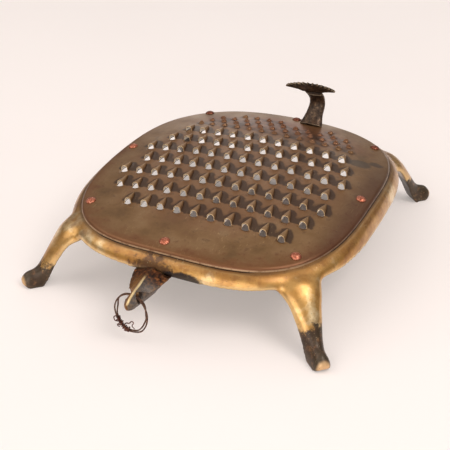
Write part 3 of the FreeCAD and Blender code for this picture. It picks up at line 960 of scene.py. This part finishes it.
def brass_material():
    """Old cast brass: golden where handled, orange-brown painted shade near the sheet, black and pitted
    low down.
    """
    s = Shader("cast_brass_patina")
    stains = s.noise(55.0, 6.0, 0.62)
    blotches = s.noise(190.0, 5.0, 0.6)
    grain = s.noise(1500.0, 4.0, 0.7)
    low = lower_legs(s)
    base = brass_tones(s, stains, blotches)
    base = blackened_legs(s, base, low, blotches)
    base = braze_patch_and_dark_web(s, base, blotches)
    pits = s.step(s.cells(520.0), 0.16, 0.08)
    base = s.tint(base, pits, 0.45, 52, 32, 18)
    fine = s.scratches(1700.0, 0.5, 0.70)
    base = s.tint(base, fine, 0.3, 240, 214, 160)
    roughness = s.plus(s.step(stains, 0.3, 0.7, 0.40, 0.28), s.times(low, 0.1))
    normal = s.bump(blotches, 0.25, 0.0005)
    normal = s.bump(grain, 0.22, 0.00015, normal)
    normal = s.bump(s.minus(1.0, pits), 0.35, 0.00025, normal)
    s.link(s.minus(0.5, s.times(low, 0.35)), s.surface.inputs["Coat Weight"])
    s.surface.inputs["Coat Roughness"].default_value = 0.24
    metallic = s.minus(0.78, s.times(low, 0.33))
    return s.finish(base, metallic, roughness, normal)


def lug_material():
    """The lug: burnt, porous root, a gold-brown left flank painted as lit, a blue-grey right flank
    painted as shaded, and a painted highlight along the ridge.
    """
    s = Shader("lug_brass_burnt")
    low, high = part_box("front_lug")
    middle = (low.x + high.x) / 2.0
    blotches = s.noise(420.0, 6.0, 0.65)
    stains = s.noise(160.0, 5.0, 0.6)
    # Painted light and shade: the left flank is coloured as lit, the right flank as shaded.
    left = s.ramp(stains, (0.32, 66, 40, 24), (0.5, 132, 88, 46), (0.68, 180, 134, 76))
    right = s.ramp(blotches, (0.3, 44, 36, 32), (0.5, 98, 88, 82), (0.72, 140, 112, 84))
    base = s.mix(s.step(s.x, middle - 0.0004, middle + 0.0012), left, right)
    root = s.step(s.plus(s.y, s.swing(blotches, 0.012)), high.y - 0.020, high.y - 0.010)
    burnt = s.ramp(blotches, (0.35, 28, 18, 14), (0.52, 86, 50, 30), (0.66, 150, 92, 50),
                   (0.76, 206, 158, 96))
    base = s.mix(root, base, burnt)
    # Painted highlight: a pale line along the lug's ridge.
    from_ridge = s.math("ABSOLUTE", s.minus(s.x, middle))
    wander = s.swing(stains, 0.0012)
    ridge = s.step(s.plus(from_ridge, wander), 0.0011, 0.0005)
    ridge = s.times(ridge, s.step(s.z, 0.0335, 0.0350), s.step(s.y, high.y - 0.012, high.y - 0.018))
    base = s.tint(base, ridge, 0.9, 236, 208, 156)
    worn = s.step(s.convex(), 0.575, 0.66)
    base = s.tint(base, worn, 0.1, 190, 156, 108)
    pits = s.step(s.cells(900.0), 0.2, 0.1)
    base = s.tint(base, pits, 0.6, 26, 18, 14)
    normal = s.bump(blotches, 0.35, 0.0005)
    normal = s.bump(s.minus(1.0, pits), 0.5, 0.0003, normal)
    return s.finish(base, 0.8, s.step(blotches, 0.3, 0.7, 0.34, 0.55), normal)


def sheet_tones(s, stains, blotches, field, back, rusty):
    """Brown sheet: redder in the field of teeth, rusty among the burrs, with painted light on the tops
    of teeth and burrs, painted shade on the rolled edge and round their feet, and a pale lip line that
    is partly painted sheen.
    """
    base = s.ramp(stains, (0.30, 104, 74, 42), (0.44, 126, 92, 56), (0.56, 138, 104, 68),
                  (0.70, 150, 120, 86))
    base = s.tint(base, field, 0.5, 132, 92, 66)
    base = s.tint(base, rusty, 0.7, 126, 76, 52)
    base = s.mix(s.step(blotches, 0.54, 0.68, 0.0, 0.5), base, rgba(92, 62, 42))
    above = s.above_sheet()
    # Painted light: paler tops on the raised teeth and burrs, weaker at the back.
    painted_light_on_tops = s.times(s.step(s.convex(), 0.53, 0.66), s.step(above, 0.0014, 0.0024))
    painted_light_on_tops = s.times(painted_light_on_tops, s.minus(1.0, s.times(back, 0.8)))
    base = s.tint(base, painted_light_on_tops, 0.3, 180, 142, 98)
    # Painted shade: the rolled edge darkened to brown.
    rolled = s.step(above, -0.0003, -0.0009)
    base = s.tint(base, rolled, 0.6, 84, 54, 32)
    # A pale line along the lip: partly a worn edge, partly a painted sheen.
    lip = s.times(s.step(above, -0.0013, -0.0017), s.step(blotches, 0.36, 0.52, 0.25, 1.0))
    base = s.tint(base, lip, 0.9, 234, 206, 164)
    # Painted shade: dark brown round the feet of the teeth and burrs.
    hollow = s.step(s.convex(), 0.488, 0.43)
    return s.tint(base, hollow, 0.8, 56, 36, 24)


def sheet_stains(s, base, blotches):
    """Two dark stains at the back right."""
    for x, y, width in ((0.0715, 0.0445, 0.0088), (0.0815, 0.0515, 0.0055)):
        spot = s.distance(x, CENTRE.y + y, 0.05, (1.0, 1.35, 0.0))
        spot = s.step(s.plus(spot, s.swing(blotches, 0.008)), width, 0.72 * width)
        base = s.tint(base, spot, 0.72, 70, 58, 46)
    return base


def sheet_border(s, base, blotches):
    """An orange-brown border at the front and a dark one on the right."""
    out_x = s.math("POWER", s.math("ABSOLUTE", s.math("DIVIDE", s.x, HALF_WIDTH)), CORNER_EXPONENT)
    from_middle = s.math("ABSOLUTE", s.minus(s.y, CENTRE.y))
    out_y = s.math("POWER", s.math("DIVIDE", from_middle, HALF_LENGTH), CORNER_EXPONENT)
    border = s.step(s.plus(s.plus(out_x, out_y), s.swing(blotches, 0.7)), 0.66, 0.98)
    border = s.times(border, s.step(s.y, CENTRE.y + 0.05, CENTRE.y - 0.02))
    base = s.tint(base, border, 0.6, 114, 64, 30)
    right_edge = s.times(s.step(s.x, 0.072, 0.089), s.step(s.y, CENTRE.y + 0.08, CENTRE.y + 0.03))
    return s.tint(base, right_edge, 0.55, 66, 30, 18)


def sheet_scratches(s, base):
    """Bright scratches two ways, strongest at the front."""
    front = s.step(s.y, CENTRE.y - 0.04, CENTRE.y - 0.085, 0.35, 1.0)
    for scale, angle, threshold in ((1500.0, 1.25, 0.71), (1300.0, -0.55, 0.72)):
        lines = s.scratches(scale, angle, threshold)
        base = s.mix(s.times(lines, front, 0.3), base, rgba(206, 172, 120))
    return base


def sheet_material(rim=False):
    """Old bronze sheet: brown, scratched and stained. The rim version is rubbed bright."""
    s = Shader("bronze_sheet_rim" if rim else "bronze_sheet_patina")
    stains = s.noise(38.0, 6.0, 0.6)
    blotches = s.noise(150.0, 6.0, 0.65)
    grain = s.noise(2200.0, 3.0, 0.7)
    from_centre = s.distance(CENTRE.x, CENTRE.y - 0.005, 0.055, (1.0, 0.95, 0.0))
    field = s.step(s.plus(from_centre, s.swing(blotches, 0.05)), 0.086, 0.062)
    uneven = s.swing(stains, 0.03)
    back = s.step(s.plus(s.y, uneven), CENTRE.y + 0.048, CENTRE.y + 0.075)
    rusty = s.times(back, s.step(s.plus(from_centre, uneven), 0.105, 0.085))
    base = sheet_tones(s, stains, blotches, field, back, rusty)
    base = sheet_stains(s, base, blotches)
    base = sheet_border(s, base, blotches)
    base = sheet_scratches(s, base)
    spots = s.step(s.cells(230.0), 0.13, 0.07)
    base = s.tint(base, spots, 0.4, 64, 40, 26)
    if rim:
        base = s.mix(s.step(blotches, 0.42, 0.58, 0.6, 0.95), base, rgba(226, 198, 156))
    roughness = s.plus(s.step(stains, 0.3, 0.7, 0.42, 0.32), s.times(field, 0.08))
    normal = s.bump(blotches, 0.16, 0.0004)
    normal = s.bump(grain, 0.10, 0.0001, normal)
    return s.finish(base, 0.5, roughness, normal)


def underside_material():
    """The sheet's underside: dull, dark brown, and painted pale inside the teeth as the bright floor
    seen through their mouths.
    """
    s = Shader("bronze_sheet_underside")
    blotches = s.noise(120.0, 6.0, 0.65)
    base = s.ramp(blotches, (0.3, 52, 38, 28), (0.5, 74, 56, 42), (0.7, 96, 76, 58))
    # Painted light: the hoods' inner faces are pale, standing in for the bright floor seen through the
    # mouths.
    painted_light_inside_teeth = s.step(s.above_sheet(), -0.0005, 0.0003)
    base = s.mix(painted_light_inside_teeth, base, rgba(246, 238, 226))
    return s.finish(base, 0.2, 0.6, s.bump(blotches, 0.2, 0.0004))


def copper_material():
    """Hand-closed copper: pinkish where rubbed, brown in its dents."""
    s = Shader("copper_rubbed")
    blotches = s.noise(900.0, 4.0, 0.6)
    base = s.ramp(blotches, (0.32, 120, 62, 42), (0.5, 188, 110, 84), (0.7, 226, 156, 128))
    back = s.step(s.y, CENTRE.y + 0.03, CENTRE.y + 0.08)
    base = s.tint(base, back, 0.7, 96, 52, 36)
    base = s.tint(base, s.step(s.convex(), 0.48, 0.40), 0.8, 60, 32, 22)
    return s.finish(base, 0.85, s.step(blotches, 0.3, 0.7, 0.5, 0.34), s.bump(blotches, 0.3, 0.0003))


def iron_material():
    """Forged iron: near black, browner where dust and rust lie, greyer where rubbed."""
    s = Shader("forged_iron_dark")
    blotches = s.noise(330.0, 6.0, 0.68)
    stains = s.noise(120.0, 4.0, 0.6)
    base = s.ramp(blotches, (0.32, 40, 31, 25), (0.5, 74, 57, 45), (0.66, 116, 92, 70),
                  (0.8, 156, 130, 102))
    base = s.mix(s.step(stains, 0.52, 0.66, 0.0, 0.5), base, rgba(84, 56, 36))
    base = s.tint(base, s.step(s.convex(), 0.57, 0.72), 0.55, 150, 132, 108)
    base = s.tint(base, s.step(s.convex(), 0.47, 0.38), 0.7, 20, 15, 13)
    normal = s.bump(blotches, 0.4, 0.0005)
    normal = s.bump(s.noise(1800.0, 3.0, 0.7), 0.25, 0.00015, normal)
    return s.finish(base, 0.7, s.step(blotches, 0.3, 0.7, 0.5, 0.34), normal)


def wire_material(name, dark, middle, light):
    """Rusty wire."""
    s = Shader(name)
    blotches = s.noise(900.0, 5.0, 0.7)
    base = s.ramp(blotches, (0.34, *dark), (0.52, *middle), (0.7, *light))
    normal = s.bump(blotches, 0.5, 0.0003)
    return s.finish(base, 0.55, s.step(blotches, 0.3, 0.7, 0.62, 0.42), normal)


def floor_material():
    """A plain pale floor. It glows faintly, which softens shadows, but hardly under the grater."""
    s = Shader("floor_pale")
    soft = s.noise(3.0, 3.0, 0.5)
    base = s.ramp(soft, (0.3, 219, 208, 204), (0.7, 223, 212, 208))
    from_grater = s.distance(0.005, CENTRE.y + 0.03, 0.0)
    s.surface.inputs["Emission Color"].default_value = rgba(255, 249, 243)
    s.link(s.step(from_grater, 0.040, 0.085, 0.02, 0.28), s.surface.inputs["Emission Strength"])
    return s.finish(base, 0.0, 0.9)


# ---- scene

def dress(piece, body, slot, materials, *nodes):
    """Gives a piece its materials and its body, and hides the CAD nodes that it stands for. The slot is
    not used.
    """
    if not piece.data.materials:
        for material in materials:
            piece.data.materials.append(material)
    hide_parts(*nodes)
    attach(piece, body)


def build_pieces():
    """Every visible piece."""
    dress(make_casting(), "grater", "cast_brass", [brass_material()],
          "cast_frame", *["leg_" + name for name in LEG_NAMES])
    plate = make_plate()
    for material in (sheet_material(), sheet_material(True), underside_material()):
        plate.data.materials.append(material)
    dress(paint_edges(applied(plate), 1.0), "grater", "bronze_sheet", [], "grater_plate")
    dress(make_lug(), "grater", "cast_brass", [lug_material()], "front_lug")
    dress(make_scraper(), "grater", "forged_iron", [iron_material()], "scraper_neck", "scraper_blade")
    copper = copper_material()
    for number, name in enumerate(RIVET_NAMES):
        dress(make_rivet(name, 3.3 * number), "grater", "copper_rivet", [copper], "rivet_" + name)
    wire = wire_material("iron_wire_rusty", (44, 30, 24), (92, 62, 46), (150, 112, 84))
    wrap = wire_material("iron_wire_knot", (40, 22, 18), (96, 48, 34), (150, 92, 66))
    dress(make_loop("ring_wire_front", -1, 0.0), "ring", "iron_wire", [wire], "ring_loop_front")
    dress(make_loop("ring_wire_back", 1, 2.6), "ring", "iron_wire", [wire], "ring_loop_back")
    dress(make_binding(), "ring", "iron_wire", [wrap], "ring_binding")


def area_light(name, place, target, size, watts, tint):
    """A soft light that points at a target."""
    light = bpy.data.lights.new(name, "AREA")
    light.shape = "DISK"
    light.size = size
    light.energy = watts
    light.color = tint
    lamp = bpy.data.objects.new(name, light)
    lamp.location = place
    lamp.rotation_euler = (Vector(target) - Vector(place)).to_track_quat("-Z", "Y").to_euler()
    bpy.context.collection.objects.link(lamp)


def studio_world():
    """A soft room: bright above, dim towards the horizon."""
    world = bpy.data.worlds.new("studio")
    world.use_nodes = True
    tree = world.node_tree
    background = tree.nodes["Background"]
    background.inputs["Color"].default_value = WORLD_TINT
    split = tree.nodes.new("ShaderNodeSeparateXYZ")
    tree.links.new(tree.nodes.new("ShaderNodeTexCoord").outputs["Generated"], split.inputs[0])
    fade = tree.nodes.new("ShaderNodeMapRange")
    fade.interpolation_type = "SMOOTHSTEP"
    for index, number in enumerate((0.0, WORLD_BRIGHT_FROM, WORLD_DIM, WORLD_BRIGHT), 1):
        fade.inputs[index].default_value = number
    tree.links.new(split.outputs[2], fade.inputs[0])
    tree.links.new(fade.outputs[0], background.inputs["Strength"])
    return world


def build_stage():
    """Floor, soft light and the camera."""
    corners = [(-FLOOR_HALF, -FLOOR_HALF, 0), (FLOOR_HALF, -FLOOR_HALF, 0),
               (FLOOR_HALF, FLOOR_HALF, 0), (-FLOOR_HALF, FLOOR_HALF, 0)]
    floor = mesh_object("floor", corners, [[0, 1, 2, 3]], False)
    floor.data.materials.append(floor_material())
    bpy.context.scene.world = studio_world()
    for light in LIGHTS:
        area_light(*light)
    camera_data = bpy.data.cameras.new("camera")
    camera_data.lens = CAMERA_LENS
    camera_data.sensor_width = CAMERA_SENSOR
    camera = bpy.data.objects.new("camera", camera_data)
    camera.location = CAMERA_PLACE
    camera.rotation_euler = (math.radians(90.0 - CAMERA_DOWN), 0.0, math.radians(CAMERA_ROUND))
    bpy.context.collection.objects.link(camera)
    bpy.context.scene.camera = camera
    bpy.context.scene.view_settings.view_transform = "Standard"


build_pieces()
build_stage()
